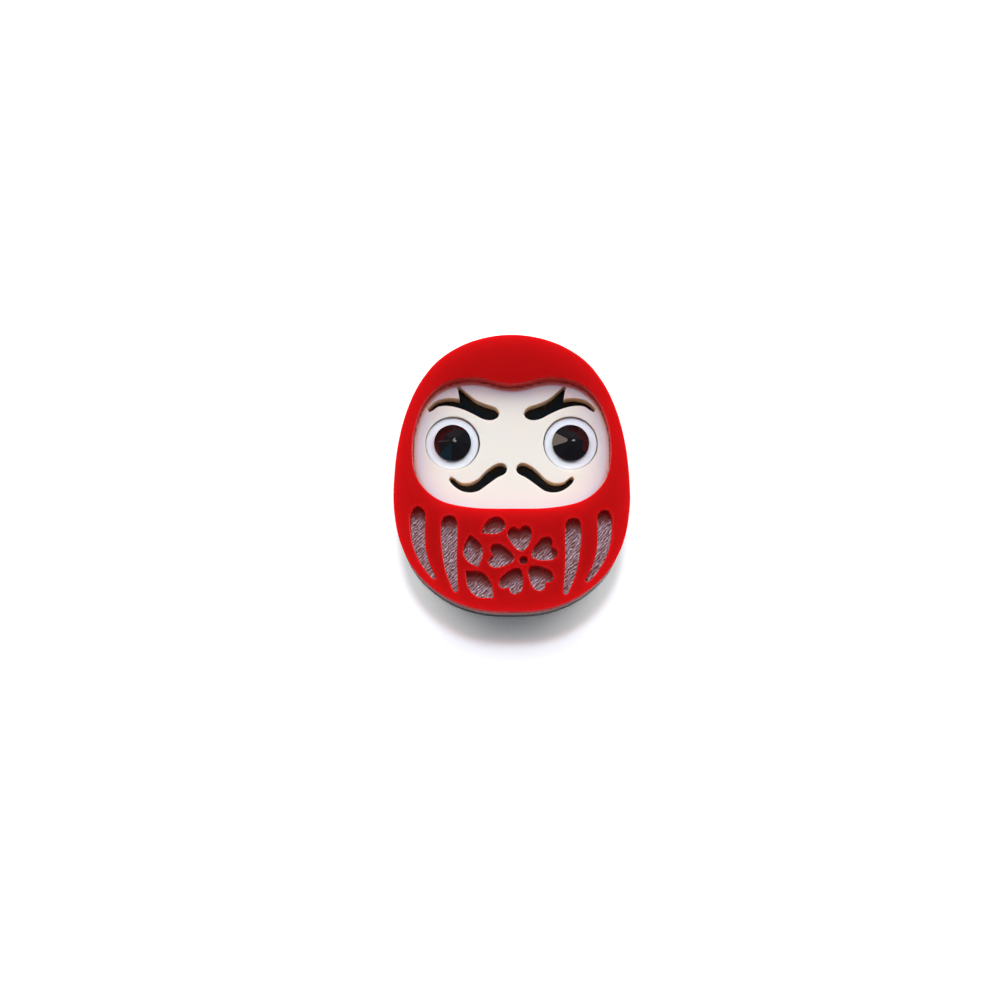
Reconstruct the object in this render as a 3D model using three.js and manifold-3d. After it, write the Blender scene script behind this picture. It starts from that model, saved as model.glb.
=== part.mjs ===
// Daruma brooch: three 3 mm acrylic layers, crystal eyes and a safety bar pin.
// Millimetres. X to the right, Z towards the head, the face looks along -Y.
// The origin is the centre of the bar pin's flat rear face, where the cloth lies.
import * as THREE from 'three';
import { mergeVertices } from 'three/addons/utils/BufferGeometryUtils.js';
import Module from 'manifold-3d';

const wasm = await Module();
wasm.setup();

// ---- driving dimensions ----
const SHEET = 3;              // thickness of each acrylic layer
const METAL = 0.8;            // thickness of the bar pin's strip
const BAR_ABOVE_CENTRE = 8;   // the bar sits this far above the middle of the plates
const KERF = 0.2;             // cut gap between the face layer and the glitter layer

const BODY_TOP = 24.4;        // the plates' middle is halfway between top and bottom
const BODY_STEPS = 120;
const WINDOW_STEPS = 128;

const EYE_X = 10.35;
const EYE_Z = 5.55;
const EYE_HOLE_R = 4.8;
const EYE_DISC_R = 4.64;
const EYE_DISC_THICK = 2.5;
const EYE_STEPS = 64;

const STONE_R = 3.25;
const STONE_GIRDLE = 0.8;     // height of the main facets where they meet the round rim
const STONE_SIDES = 8;
const STONE_STEPS = 48;
const STONE_MAIN_SLOPE = 32;  // degrees, facets from the rim towards the tip
const STONE_STAR_SLOPE = 21;  // degrees, small facets round the tip
const STONE_STAR_R = 0.8;     // how far the small facets reach along the ridges

const SEAM_LOW = -7.3;        // the seam between face and glitter at the middle
const SEAM_R = 67.6;

const BAR_LENGTH = 30;
const BAR_WIDTH = 5;
const BAR_NECK = 3.6;         // the strip is narrower under the hinge and the catch
const NECK_LENGTH = 4.5;
const BAR_HOLE_R = 1;
const BAR_HOLE_X = 7;

const PIN_Y = 4.2;            // height of the pin stem's axis above the strip
const PIVOT_X = -12.6;
const EAR_R = 1.5;
const EAR_HOLE_R = 0.6;
const RIVET_R = 0.55;
const RIVET_HEAD_R = 1;
const RIVET_HEAD = 0.45;
const RIVET_PLAY = 0.05;

const WIRE_R = 0.45;
const WIRE_TIP_X = 13.9;
const WIRE_TAPER = 4;
const EYELET_R = 1.35;
const EYELET_BORE_R = 0.62;
const EYELET_WIDTH = 1.7;

const CATCH_X = 12.5;
const COLLAR_R = 2.3;
const COLLAR_BORE_R = 1.72;
const COLLAR_LENGTH = 2.4;
const COLLAR_MOUTH = 1.7;
const COLLAR_FOOT = 3;
const SLEEVE_R = 1.65;
const SLEEVE_BORE_R = 0.95;
const SLEEVE_SLOT = 1.3;
const SLEEVE_LENGTH = 3.8;
const FLANGE_R = 2.1;
const FLANGE = 0.6;
const TAB_REACH = 4.3;
const TAB_THICK = 0.6;
const TAB_ANGLE = -60;        // degrees from +Y towards +Z, with the catch open

const ROUND_STEPS = 32;

// ---- outlines in the plates' own plane: x to the right, y towards the head ----
const BODY_HALF = [
  [0, BODY_TOP], [6.9, 23.2], [12.35, 20.15], [15.75, 16.15], [18.1, 11.2], [19.65, 5.2],
  [20.35, -1.5], [20.3, -6.8], [19.05, -12.8], [16.2, -17.8], [11.4, -21.8], [6, -23.9],
  [0, -BODY_TOP],
];
const WINDOW_HALF = [
  [0, 15.5], [1.3, 15.58], [2.7, 15.88], [4.8, 16.42], [7.8, 16.65], [12, 15.55], [15, 12.7],
  [16.75, 8.4], [17.25, 4], [16.65, -0.6], [14.85, -3.35], [12, -5.3], [7, -6.42], [0, -6.62],
];
const BROW = [
  [[9.2, 13.5], [10.7, 13.7], [12.2, 13.52], [13.4, 13.05], [14.9, 11.7]],
  [[14.9, 11.7], [14.7, 11.15], [14.2, 11.2], [12.9, 12.1], [11.3, 12.26], [9.1, 11.8],
    [6.8, 10.8], [5, 9.87], [3.8, 9.67], [2.6, 10], [2.1, 10.9], [2.75, 11.9],
    [4.5, 12.57], [6.2, 13.28], [7.7, 14.45], [9.2, 15.8]],
  [[9.2, 15.8], [9.65, 15.55]],
  [[9.65, 15.55], [9.35, 14.6], [9.2, 13.5]],
];
const MOUSTACHE = [
  [0.75, 0.95], [1.1, 1.75], [1.95, 2.02], [3, 1.68], [4.5, 0.6], [6, -0.9], [7.5, -1.55],
  [9.1, -1.4], [10.25, -0.55], [10.85, -0.4], [10.95, -0.95], [10.1, -2.1], [8.7, -3],
  [7.2, -3.27], [5.8, -2.98], [4.5, -2.08], [2.5, -0.62], [1.15, 0.12],
];
const OUTER_STRIPE = [
  [[13.75, -18.6], [14.5, -17.75], [16.1, -15.25], [17.1, -12.5], [17.5, -9.5], [17.35, -7.3],
    [16.3, -6.15], [15, -7.1], [14.95, -10], [14.85, -13], [14.2, -15.75], [12.85, -18.55]],
  [[12.85, -18.55], [13.1, -18.95]],
  [[13.1, -18.95], [13.5, -18.9]],
  [[13.5, -18.9], [13.75, -18.6]],
];
const INNER_STRIPE = [
  [[10.05, -20.75], [11.35, -17.25], [12, -13.5], [12.2, -9.5], [11.9, -8.3], [10.8, -7.75],
    [9.65, -8.35], [9.4, -9.7], [9.45, -16], [9.15, -20.75]],
  [[9.15, -20.75], [9.4, -21.12]],
  [[9.4, -21.12], [9.8, -21.1]],
  [[9.8, -21.1], [10.05, -20.75]],
];
const BUD = [
  [[-5.3, -10.9], [-4.5, -9], [-2.8, -8], [-1.3, -8.7], [-1.2, -10.1], [-2.6, -11],
    [-5.3, -10.9]],
];
const UPPER_LEAF = [
  [[-7.2, -11.2], [-5.3, -12.7], [-5, -14.6], [-5.8, -16.9]],
  [[-5.8, -16.9], [-7.9, -15.4], [-8.3, -13.3], [-7.2, -11.2]],
];
const LOWER_LEAF = [
  [[-7.9, -17.4], [-5.2, -17.6], [-3.6, -19.3], [-3.1, -22.1]],
  [[-3.1, -22.1], [-5.9, -21.9], [-7.5, -20.2], [-7.9, -17.4]],
];
const PETAL = [
  [0, 5.35], [0.7, 5.95], [1.6, 5.8], [2.1, 4.8], [1.7, 3.4], [0.9, 2.1], [0, 1.55],
  [-0.9, 2.1], [-1.7, 3.4], [-2.1, 4.8], [-1.6, 5.8], [-0.7, 5.95],
];
const BLOSSOM_X = 2;
const BLOSSOM_Y = -15.6;
const BLOSSOM_PETALS = 5;
const PETAL_STEPS = 32;
const BLOSSOM_TURN = 8;       // degrees
const BLOSSOM_HEART_R = 0.75;
const RIGHT_STRIPE_DROP = 0.25;
const RIGHT_STRIPE_TURN = -1.1;   // degrees

// ---- helpers ----
function smoothLine(points, steps, closed) {
  const knots = points.map(([x, y]) => new THREE.Vector3(x, y, 0));
  const curve = new THREE.CatmullRomCurve3(knots, closed, 'centripetal');
  return curve.getSpacedPoints(steps).slice(0, -1).map((p) => new THREE.Vector2(p.x, p.y));
}

function mirroredLoop(half) {
  const other = half.slice(1, -1).reverse().map(([x, y]) => [-x, y]);
  return [...half, ...other];
}

function corneredLoop(stretches, stepLength = 0.8) {
  return stretches.flatMap((points) => {
    const knots = points.map(([x, y]) => new THREE.Vector3(x, y, 0));
    const length = new THREE.CatmullRomCurve3(knots, false, 'centripetal').getLength();
    return smoothLine(points, Math.max(1, Math.round(length / stepLength)), false);
  });
}

function placed(points, { flip = false, dx = 0, dy = 0, turn = 0 } = {}) {
  const angle = THREE.MathUtils.degToRad(turn);
  const centre = new THREE.Vector2(0, 0);
  return points.map((p) => {
    const q = new THREE.Vector2(flip ? -p.x : p.x, p.y).rotateAround(centre, angle);
    return q.add(new THREE.Vector2(dx, dy));
  });
}

function circleLoop(x, y, radius, steps) {
  const loop = [];
  for (let i = 0; i < steps; i += 1) {
    const angle = (2 * Math.PI * i) / steps;
    loop.push(new THREE.Vector2(x + radius * Math.cos(angle), y + radius * Math.sin(angle)));
  }
  return loop;
}

// The outline runs anticlockwise, so that ExtrudeGeometry turns the holes the right way.
function slab(outline, holes, thickness) {
  const clockwise = THREE.ShapeUtils.isClockWise(outline);
  const shape = new THREE.Shape(clockwise ? [...outline].reverse() : outline);
  shape.holes = holes.map((loop) => new THREE.Path(loop));
  return new THREE.ExtrudeGeometry(shape, { depth: thickness, bevelEnabled: false });
}

function toSolid(geometry) {
  const bare = geometry.clone();
  bare.deleteAttribute('normal');
  bare.deleteAttribute('uv');
  const merged = mergeVertices(bare, 1e-4);
  return new wasm.Manifold(new wasm.Mesh({
    numProp: 3,
    vertProperties: new Float32Array(merged.attributes.position.array),
    triVerts: new Uint32Array(merged.index.array),
  }));
}

function toGeometry(solid) {
  const mesh = solid.getMesh();
  const geometry = new THREE.BufferGeometry();
  geometry.setAttribute('position', new THREE.BufferAttribute(mesh.vertProperties, 3));
  geometry.setIndex(new THREE.BufferAttribute(mesh.triVerts, 1));
  const flat = geometry.toNonIndexed();
  flat.computeVertexNormals();
  return flat;
}

function plateMaterial(colour, roughness, metalness) {
  return new THREE.MeshStandardMaterial({ color: colour, roughness, metalness });
}

const redAcrylic = () => plateMaterial(0xc01418, 0.12, 0);
const creamAcrylic = () => plateMaterial(0xf2e6de, 0.15, 0);
const glitterAcrylic = () => plateMaterial(0xb4a5ac, 0.3, 0.6);
const blackAcrylic = () => plateMaterial(0x17191c, 0.12, 0);
const whiteAcrylic = () => plateMaterial(0xeaf0f8, 0.2, 0);
const blackCrystal = () => plateMaterial(0x0b0c10, 0.03, 0);
const nickel = () => plateMaterial(0xb9bbbd, 0.3, 1);

const object = new THREE.Group();
const plates = new THREE.Group();
plates.position.set(0, -METAL, -BAR_ABOVE_CENTRE);
const pin = new THREE.Group();
object.add(plates, pin);

function addMesh(parent, name, geometry, material) {
  const mesh = new THREE.Mesh(geometry, material);
  mesh.name = name;
  parent.add(mesh);
  return mesh;
}

// A plate is drawn flat and stood up, so that its drawing faces -Y.
function addPlate(name, outline, holes, layer, material) {
  const mesh = addMesh(plates, name, slab(outline, holes, SHEET), material);
  mesh.rotation.x = Math.PI / 2;
  mesh.position.y = -layer * SHEET;
}

// ---- the layers ----
const bodyLoop = () => smoothLine(mirroredLoop(BODY_HALF), BODY_STEPS, true);

function seamHeight(x, offset) {
  const radius = SEAM_R - offset;
  return SEAM_LOW + SEAM_R - Math.sqrt(radius * radius - x * x);
}

// The body outline cut along the seam arc: its upper or its lower part.
function bodyPart(upper) {
  const offset = upper ? KERF / 2 : -KERF / 2;
  const keeps = (p) => (upper ? p.y > seamHeight(p.x, offset) : p.y < seamHeight(p.x, offset));
  const loop = bodyLoop();
  const start = loop.findIndex((p, i) => keeps(p) && !keeps(loop.at(i - 1)));
  const run = loop.map((_, i) => loop[(start + i) % loop.length]).filter(keeps);
  const first = run[0];
  const last = run[run.length - 1];
  const seam = [];
  const steps = 24;
  for (let i = 0; i <= steps; i += 1) {
    const x = THREE.MathUtils.lerp(last.x, first.x, i / steps);
    seam.push(new THREE.Vector2(x, seamHeight(x, offset)));
  }
  return [...run, ...seam];
}

function blossomHoles() {
  const petal = smoothLine(PETAL, PETAL_STEPS, true);
  const holes = [circleLoop(BLOSSOM_X, BLOSSOM_Y, BLOSSOM_HEART_R, 14)];
  for (let i = 0; i < BLOSSOM_PETALS; i += 1) {
    const turn = BLOSSOM_TURN + (360 * i) / BLOSSOM_PETALS;
    holes.push(placed(petal, { dx: BLOSSOM_X, dy: BLOSSOM_Y, turn }));
  }
  return holes;
}

function stripeHoles() {
  return [OUTER_STRIPE, INNER_STRIPE].flatMap((stripe) => {
    const loop = corneredLoop(stripe, 0.75);
    const right = placed(loop, { turn: RIGHT_STRIPE_TURN, dy: -RIGHT_STRIPE_DROP });
    return [placed(loop, { flip: true }), right];
  });
}

function frontPlate() {
  const holes = [
    smoothLine(mirroredLoop(WINDOW_HALF), WINDOW_STEPS, true),
    ...stripeHoles(),
    ...blossomHoles(),
    corneredLoop(BUD),
    corneredLoop(UPPER_LEAF, 1),
    corneredLoop(LOWER_LEAF, 1),
  ];
  addPlate('front_plate', bodyLoop(), holes, 2, redAcrylic());
}

function facePlate() {
  const brow = corneredLoop(BROW);
  const moustache = smoothLine(MOUSTACHE, 36, true);
  const holes = [];
  for (const side of [-1, 1]) {
    holes.push(placed(brow, { flip: side < 0 }));
    holes.push(placed(moustache, { flip: side < 0 }));
    holes.push(circleLoop(side * EYE_X, EYE_Z, EYE_HOLE_R, EYE_STEPS));
  }
  addPlate('face_plate', bodyPart(true), holes, 1, creamAcrylic());
}

function glitterPlate() {
  addPlate('glitter_plate', bodyPart(false), [], 1, glitterAcrylic());
}

function backPlate() {
  addPlate('back_plate', bodyLoop(), [], 0, blackAcrylic());
}

// ---- the eyes ----
function eyeDisc(name, side, shift) {
  const disc = new THREE.CylinderGeometry(EYE_DISC_R, EYE_DISC_R, EYE_DISC_THICK, EYE_STEPS);
  const mesh = addMesh(plates, name, disc, whiteAcrylic());
  mesh.position.set(side * EYE_X + shift, -SHEET - EYE_DISC_THICK / 2, EYE_Z);
}

// A flat facet: everything above a plane through a point on the axis, sloping down outwards.
function facetCut(azimuth, tipHeight, slope) {
  const size = 6 * STONE_R;
  const box = new THREE.BoxGeometry(size, size, size);
  box.translate(0, 0, size / 2);
  box.rotateY(slope);
  box.translate(0, 0, tipHeight);
  box.rotateZ(azimuth);
  return toSolid(box);
}

// A pointed stone: main facets from the round rim, smaller ones between them round the tip.
function stoneGeometry() {
  const half = Math.PI / STONE_SIDES;
  const mainSlope = THREE.MathUtils.degToRad(STONE_MAIN_SLOPE);
  const starSlope = THREE.MathUtils.degToRad(STONE_STAR_SLOPE);
  const mainTip = STONE_GIRDLE + STONE_R * Math.cos(half) * Math.tan(mainSlope);
  const ridge = Math.cos(half) * Math.tan(mainSlope);
  const starTip = mainTip - STONE_STAR_R * (ridge - Math.tan(starSlope));
  const blank = new THREE.CylinderGeometry(STONE_R, STONE_R, mainTip, STONE_STEPS);
  blank.rotateX(Math.PI / 2);
  blank.translate(0, 0, mainTip / 2);
  let stone = toSolid(blank);
  for (let i = 0; i < STONE_SIDES; i += 1) {
    const azimuth = 2 * half * i;
    stone = stone.subtract(facetCut(azimuth, mainTip, mainSlope));
    stone = stone.subtract(facetCut(azimuth + half, starTip, starSlope));
  }
  return toGeometry(stone);
}

function eyeStone(name, side, turn) {
  const geometry = stoneGeometry();
  geometry.rotateZ(THREE.MathUtils.degToRad(turn));
  geometry.rotateX(Math.PI / 2);
  const mesh = addMesh(plates, name, geometry, blackCrystal());
  mesh.position.set(side * EYE_X, -SHEET - EYE_DISC_THICK, EYE_Z);
}

// ---- the bar pin ----
function stripOutline() {
  const end = BAR_LENGTH / 2;
  const neck = end - NECK_LENGTH;
  const shoulder = neck - 1;
  const corner = 0.8;
  const quarter = [
    [end, BAR_NECK / 2 - corner], [end - corner, BAR_NECK / 2], [neck, BAR_NECK / 2],
    [shoulder, BAR_WIDTH / 2],
  ];
  const upper = [...quarter, ...quarter.map(([x, y]) => [-x, y]).reverse()];
  const lower = upper.map(([x, y]) => [x, -y]).reverse();
  return [...upper, ...lower].map(([x, y]) => new THREE.Vector2(x, y));
}

function strip() {
  const holes = [-1, 1].map((side) => circleLoop(side * BAR_HOLE_X, 0, BAR_HOLE_R, 20));
  const geometry = slab(stripOutline(), holes, METAL);
  geometry.rotateX(Math.PI / 2);
  return toSolid(geometry);
}

// An ear stands on the strip and carries one end of the rivet.
function ear(side) {
  const outline = new THREE.Shape();
  outline.moveTo(PIVOT_X - EAR_R, -METAL / 2);
  outline.lineTo(PIVOT_X + EAR_R, -METAL / 2);
  outline.lineTo(PIVOT_X + EAR_R, PIN_Y);
  outline.absarc(PIVOT_X, PIN_Y, EAR_R, 0, Math.PI, false);
  outline.holes.push(new THREE.Path(circleLoop(PIVOT_X, PIN_Y, EAR_HOLE_R, 24)));
  const options = { depth: METAL, bevelEnabled: false, curveSegments: 12 };
  const geometry = new THREE.ExtrudeGeometry(outline, options);
  geometry.translate(0, 0, side > 0 ? BAR_NECK / 2 - METAL : -BAR_NECK / 2);
  return toSolid(geometry);
}

// The catch's collar: a ring on a foot, open away from the strip.
function collar() {
  const outline = new THREE.Shape(circleLoop(0, 0, COLLAR_R, ROUND_STEPS));
  const depth = COLLAR_LENGTH;
  const ring = toSolid(new THREE.ExtrudeGeometry(outline, { depth, bevelEnabled: false }));
  const footHeight = PIN_Y + METAL / 2;
  const foot = new THREE.BoxGeometry(footHeight, COLLAR_FOOT, depth);
  foot.translate(-footHeight / 2, 0, depth / 2);
  const bore = new THREE.CylinderGeometry(COLLAR_BORE_R, COLLAR_BORE_R, 3 * depth, ROUND_STEPS);
  bore.rotateX(Math.PI / 2);
  const mouth = new THREE.BoxGeometry(2 * COLLAR_R, COLLAR_MOUTH, 3 * depth);
  mouth.translate(COLLAR_R, 0, 0);
  const solid = ring.add(toSolid(foot)).subtract(toSolid(bore)).subtract(toSolid(mouth));
  const geometry = toGeometry(solid);
  geometry.translate(0, 0, -depth / 2);
  return toSolid(alongX(geometry).translate(CATCH_X, PIN_Y, 0));
}

// Turns a part drawn with its axis on Z and its mouth on X to axis X and mouth Y.
function alongX(geometry) {
  geometry.rotateZ(Math.PI / 2);
  geometry.rotateY(Math.PI / 2);
  return geometry;
}

function pinBar() {
  const solid = strip().add(ear(-1)).add(ear(1)).add(collar());
  addMesh(pin, 'pin_bar', toGeometry(solid), nickel());
}

function hingeRivet() {
  const shaft = BAR_NECK / 2 + RIVET_PLAY;
  const rim = 0.6 * RIVET_HEAD;
  const half = [
    [RIVET_R, shaft], [RIVET_HEAD_R, shaft], [RIVET_HEAD_R, shaft + rim],
    [0.6 * RIVET_HEAD_R, shaft + RIVET_HEAD], [0, shaft + RIVET_HEAD],
  ];
  const profile = [...half.map(([r, z]) => [r, -z]).reverse(), ...half];
  const points = profile.map(([r, z]) => new THREE.Vector2(r, z));
  const mesh = addMesh(pin, 'hinge_rivet', new THREE.LatheGeometry(points, 20), nickel());
  mesh.geometry.rotateX(Math.PI / 2);
  mesh.position.set(PIVOT_X, PIN_Y, 0);
}

function ringGeometry(outerR, innerR, width, steps) {
  const shape = new THREE.Shape(circleLoop(0, 0, outerR, steps));
  shape.holes.push(new THREE.Path(circleLoop(0, 0, innerR, steps)));
  const geometry = new THREE.ExtrudeGeometry(shape, { depth: width, bevelEnabled: false });
  geometry.translate(0, 0, -width / 2);
  return geometry;
}

function pinStem() {
  const start = (EYELET_R + EYELET_BORE_R) / 2;
  const length = WIRE_TIP_X - PIVOT_X;
  const profile = [
    [0, start], [WIRE_R, start], [WIRE_R, length - WIRE_TAPER],
    [0.6 * WIRE_R, length - 0.35 * WIRE_TAPER], [0, length],
  ];
  const wire = new THREE.LatheGeometry(profile.map(([r, x]) => new THREE.Vector2(r, x)), 16);
  wire.rotateZ(-Math.PI / 2);
  const eyelet = ringGeometry(EYELET_R, EYELET_BORE_R, EYELET_WIDTH, ROUND_STEPS);
  const solid = toSolid(wire).add(toSolid(eyelet));
  const mesh = addMesh(pin, 'pin_stem', toGeometry(solid), nickel());
  mesh.position.set(PIVOT_X, PIN_Y, 0);
}

function catchSleeve() {
  const end = SLEEVE_LENGTH / 2;
  const profile = [
    [SLEEVE_BORE_R, -end], [FLANGE_R, -end], [FLANGE_R, -end + FLANGE],
    [SLEEVE_R, -end + FLANGE], [SLEEVE_R, end - FLANGE], [FLANGE_R, end - FLANGE],
    [FLANGE_R, end], [SLEEVE_BORE_R, end], [SLEEVE_BORE_R, -end],
  ];
  const tube = new THREE.LatheGeometry(profile.map(([r, x]) => new THREE.Vector2(r, x)), ROUND_STEPS);
  tube.rotateX(Math.PI / 2);
  const slot = new THREE.BoxGeometry(2 * FLANGE_R, SLEEVE_SLOT, 2 * SLEEVE_LENGTH);
  slot.translate(FLANGE_R, 0, 0);
  const tabLength = TAB_REACH - SLEEVE_R;
  const tab = new THREE.BoxGeometry(tabLength, TAB_THICK, FLANGE);
  tab.translate(SLEEVE_R + tabLength / 2, 0, -end + FLANGE / 2);
  tab.rotateZ(THREE.MathUtils.degToRad(TAB_ANGLE));
  const solid = toSolid(tube).subtract(toSolid(slot)).add(toSolid(tab));
  const geometry = alongX(toGeometry(solid));
  const mesh = addMesh(pin, 'catch_sleeve', geometry, nickel());
  mesh.position.set(CATCH_X, PIN_Y, 0);
}

backPlate();
glitterPlate();
facePlate();
frontPlate();
eyeDisc('eye_disc_left', -1, -0.1);
eyeDisc('eye_disc_right', 1, 0);
eyeStone('eye_stone_left', -1, 20);
eyeStone('eye_stone_right', 1, -11);
pinBar();
hingeRivet();
pinStem();
catchSleeve();

export default object;
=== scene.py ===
"""Daruma brooch: the looks of its acrylic layers, crystal eyes and safety bar pin."""
import math

import bmesh
import bpy
import numpy as np
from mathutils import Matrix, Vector, geometry


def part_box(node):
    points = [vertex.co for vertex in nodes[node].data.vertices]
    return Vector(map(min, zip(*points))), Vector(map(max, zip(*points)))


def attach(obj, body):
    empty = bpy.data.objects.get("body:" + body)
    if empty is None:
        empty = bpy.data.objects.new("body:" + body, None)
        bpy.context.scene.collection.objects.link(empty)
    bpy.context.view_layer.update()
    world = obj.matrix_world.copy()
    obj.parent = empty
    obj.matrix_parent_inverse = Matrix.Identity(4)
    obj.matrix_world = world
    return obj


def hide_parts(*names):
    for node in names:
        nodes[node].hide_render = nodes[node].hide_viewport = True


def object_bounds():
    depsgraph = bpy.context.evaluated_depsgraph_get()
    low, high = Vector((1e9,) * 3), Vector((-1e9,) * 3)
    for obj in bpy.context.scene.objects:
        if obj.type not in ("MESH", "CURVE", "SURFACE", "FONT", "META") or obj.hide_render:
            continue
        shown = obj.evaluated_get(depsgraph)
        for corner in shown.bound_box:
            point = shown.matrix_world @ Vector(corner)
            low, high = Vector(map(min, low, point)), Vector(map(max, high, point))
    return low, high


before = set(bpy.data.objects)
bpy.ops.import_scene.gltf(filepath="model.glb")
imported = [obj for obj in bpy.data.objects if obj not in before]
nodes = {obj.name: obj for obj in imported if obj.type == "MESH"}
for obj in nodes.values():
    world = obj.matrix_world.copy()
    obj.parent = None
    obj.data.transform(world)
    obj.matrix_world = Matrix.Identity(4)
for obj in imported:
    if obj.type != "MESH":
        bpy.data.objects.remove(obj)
cad_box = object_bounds()

MM = 0.001

# ---- viewpoint: camera and aim, in mm from the middle of the front plate's face ----
CAMERA_OFFSET = (-1.63, -276.0, -55.43)
AIM_OFFSET = (-2.03, 0.0, -5.14)
LENS = 58.6                 # mm
SENSOR = 36                 # mm

# ---- fine shape, in mm ----
PLATE_EDGE = 0.07           # rounding of a laser-cut plate's edges
DISC_EDGE = 0.22            # rounding of the white discs
METAL_EDGE = 0.07           # rounding of the stamped strip, wire and sleeve
FACET_EDGE = 0.02           # width of the polished lines between facets
HALF_ROUND = 1 - math.sqrt(0.5)   # how far a round edge's middle stands in, as a share of it
GRID = 0.9                  # between points inside the black sheet's face
FINE_GRID = 0.4             # the same in the sheets that show
DISC_RINGS = (0.5, 0.72, 0.8, 0.86, 0.91)   # rings of points on a disc's face, as shares
DISC_STEPS = 120            # points round a disc
LOOP_PARTS = 3              # points for each one of a CAD outline
CROWD = 0.18                # a point nearer to a corner than this is left out
CLEAR = 0.35                # share of the grid's step that is kept free beside an outline
MITRE = 0.5                 # an inset corner moves by at most the inset over this

# ---- bends: a sharper one than this is an edge or a corner ----
CORNER = math.radians(35)
FLAT = math.radians(1)
FACET_BEND = math.radians(12)
METAL_BEND = math.radians(30)
DISC_BEND = math.radians(50)
FACE_ON = 0.999             # a normal's share along Y on a sheet's flat faces

# ---- limits of the arithmetic ----
SAME = 1e-7                 # points nearer to each other than this are one
TINY = 1e-12                # stands in for a zero in a division
SLIVER = 1e-5               # mm2, a triangle smaller than this is too thin to place by its middle
SLIVER_ROUNDS = 3           # slivers that lie side by side are settled one after another

# ---- painted light and shade near an outline: reach in mm, then its share at edges that face up,
# ---- sideways and down ----
RIM_PAINTED_LIGHT = (1.9, 0.95, 0.62, 0.5)           # painted light: paler red along the brooch's outline
WINDOW_PAINTED_LIGHT = (1.5, 1.0, 0.22, 0.0)         # painted light: paler red round the face window
CUTOUT_PAINTED_LIGHT = (0.25, 0.3, 0.4, 0.6)         # painted light: paler red round the stripes and the ornament
WINDOW_PAINTED_SHADE = (1.2, 0.5, 0.95, 0.9)        # painted shade on the cream sheet beside the window's walls
DISC_PAINTED_SHADE = (0.24, 0.95, 0.6, 0.2)         # painted shade on the discs' rims
CUTOUT_PAINTED_SHADE = 1.3          # mm, reach of the painted shade on the glitter under the cut-outs' tops
STEEP, LEVEL = 0.45, 0.65   # an edge steeper than the first drops no painted shade; past the second, all

# ---- cut walls: share of burn marks and painted shade at shares of the way to the sheet's back ----
RESIDUE_AND_SHADE = [(0.0, 0.35), (0.35, 0.8), (1.0, 1.0)]
# the window's wall is darkest at its back, a painted contact shadow where it meets the cream
WINDOW_RESIDUE_AND_SHADE = [(0.0, 0.0), (0.6, 0.2), (0.85, 0.5), (1.0, 1.0)]

# ---- painted reflections on the crystals: share of a full turn from the right, anticlockwise, and colour ----
PLAIN_BLACK_FACET = (0.006, 0.006, 0.008)
GARNET_PAINTED_REFLECTION = (0.004, 0.002, 0.003)
NAVY_PAINTED_REFLECTION = (0.006, 0.026, 0.04)
CRYSTAL_PAINTED_REFLECTIONS = [(0.0, PLAIN_BLACK_FACET), (0.15, GARNET_PAINTED_REFLECTION), (0.46, PLAIN_BLACK_FACET), (0.66, NAVY_PAINTED_REFLECTION),
                (0.7, PLAIN_BLACK_FACET)]

# ---- materials: noise scales are in waves per metre ----
ACRYLIC_IOR = 1.49
CRYSTAL_IOR = 1.62
RED_LIGHT = (0.55, 0.14, 0.12)   # what one face of the red sheet lets through
GRAIN = 0.35                # strength of the acrylic's fine unevenness
DUST = 0.03                 # about the share of the dust pattern's cells with a speck
PALE_DUST = (0.75, 0.72, 0.7)
BROWN_DUST = (0.25, 0.2, 0.18)
GREY_DUST = (0.3, 0.3, 0.3)
LIGHT_GREY_DUST = (0.4, 0.4, 0.4)
RED_DEPTH = (1.0, 0.1, 0.1)      # depths: mm that red, green and blue light wander in a sheet
CREAM_DEPTH = (0.7, 0.55, 0.45)
CREAM_WALL_DEPTH = (1.2, 0.8, 0.5)
EYE_WALL_DEPTH = (2.0, 1.4, 1.0)
GLITTER_DEPTH = (0.3, 0.3, 0.3)
BLACK_DEPTH = (0.1, 0.1, 0.1)
WHITE_DEPTH = (0.5, 0.5, 0.55)
MIX_INPUTS = (0, 6, 7)      # the factor and the two colours, among a Mix node's inputs
MIX_OUTPUT = 2              # the colour, among its outputs

# ---- surroundings ----
SURFACE_GAP = 0.1           # mm between the pin and the surface behind it
SURFACE_HALF = 1.5          # m, half the surface's side
SURFACE_TONE = 1.3          # the surface is lit a little brighter than white paper
COOL = (0.96, 0.98, 1.1)
WARM = (1.0, 0.985, 0.93)
WHITE = (1.0, 1.0, 1.0)
BEIGE = (1.0, 0.82, 0.66)
SUNS = [                    # name, degrees aside and up, strength, colour, degrees across
    ("soft_key", 0, 24, 0.85, COOL, 60),
    ("small_key", 0, 14.5, 0.92, COOL, 6),
    ("left_key", -52, 37, 2.0, WARM, 52),
    ("right_key", 52, 37, 2.0, WARM, 52),
]
BACK_FILL = ("back_fill", 160, 25, 1.6, COOL, 60)   # the only sun that is mirrored
GLINT_CARDS = [             # mirrored only: name, degrees aside and up, watts, colour, m across
    ("side_card", -62, 22, 1.0, BEIGE, 0.36),
    ("right_card", 42, 15.5, 0.6, WHITE, 0.2),
    ("upper_card", 33.5, 39.7, 0.15, WHITE, 0.12),
]
BRIGHT_SIDE = (0, 1, 0.25)  # the mirrored room is brightest behind the brooch, a little upward
ROOM_TONE, ROOM_STRENGTH = (0.8, 0.86, 1.0), 0.08
SEEN_TONE = (0.93, 0.93, 0.94)
MIRRORED_TONE = (0.9, 0.93, 1.0)
ROOM_GROWTH = (("From Min", -0.2), ("From Max", 0.9), ("To Min", 0.07), ("To Max", 0.8))


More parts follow.
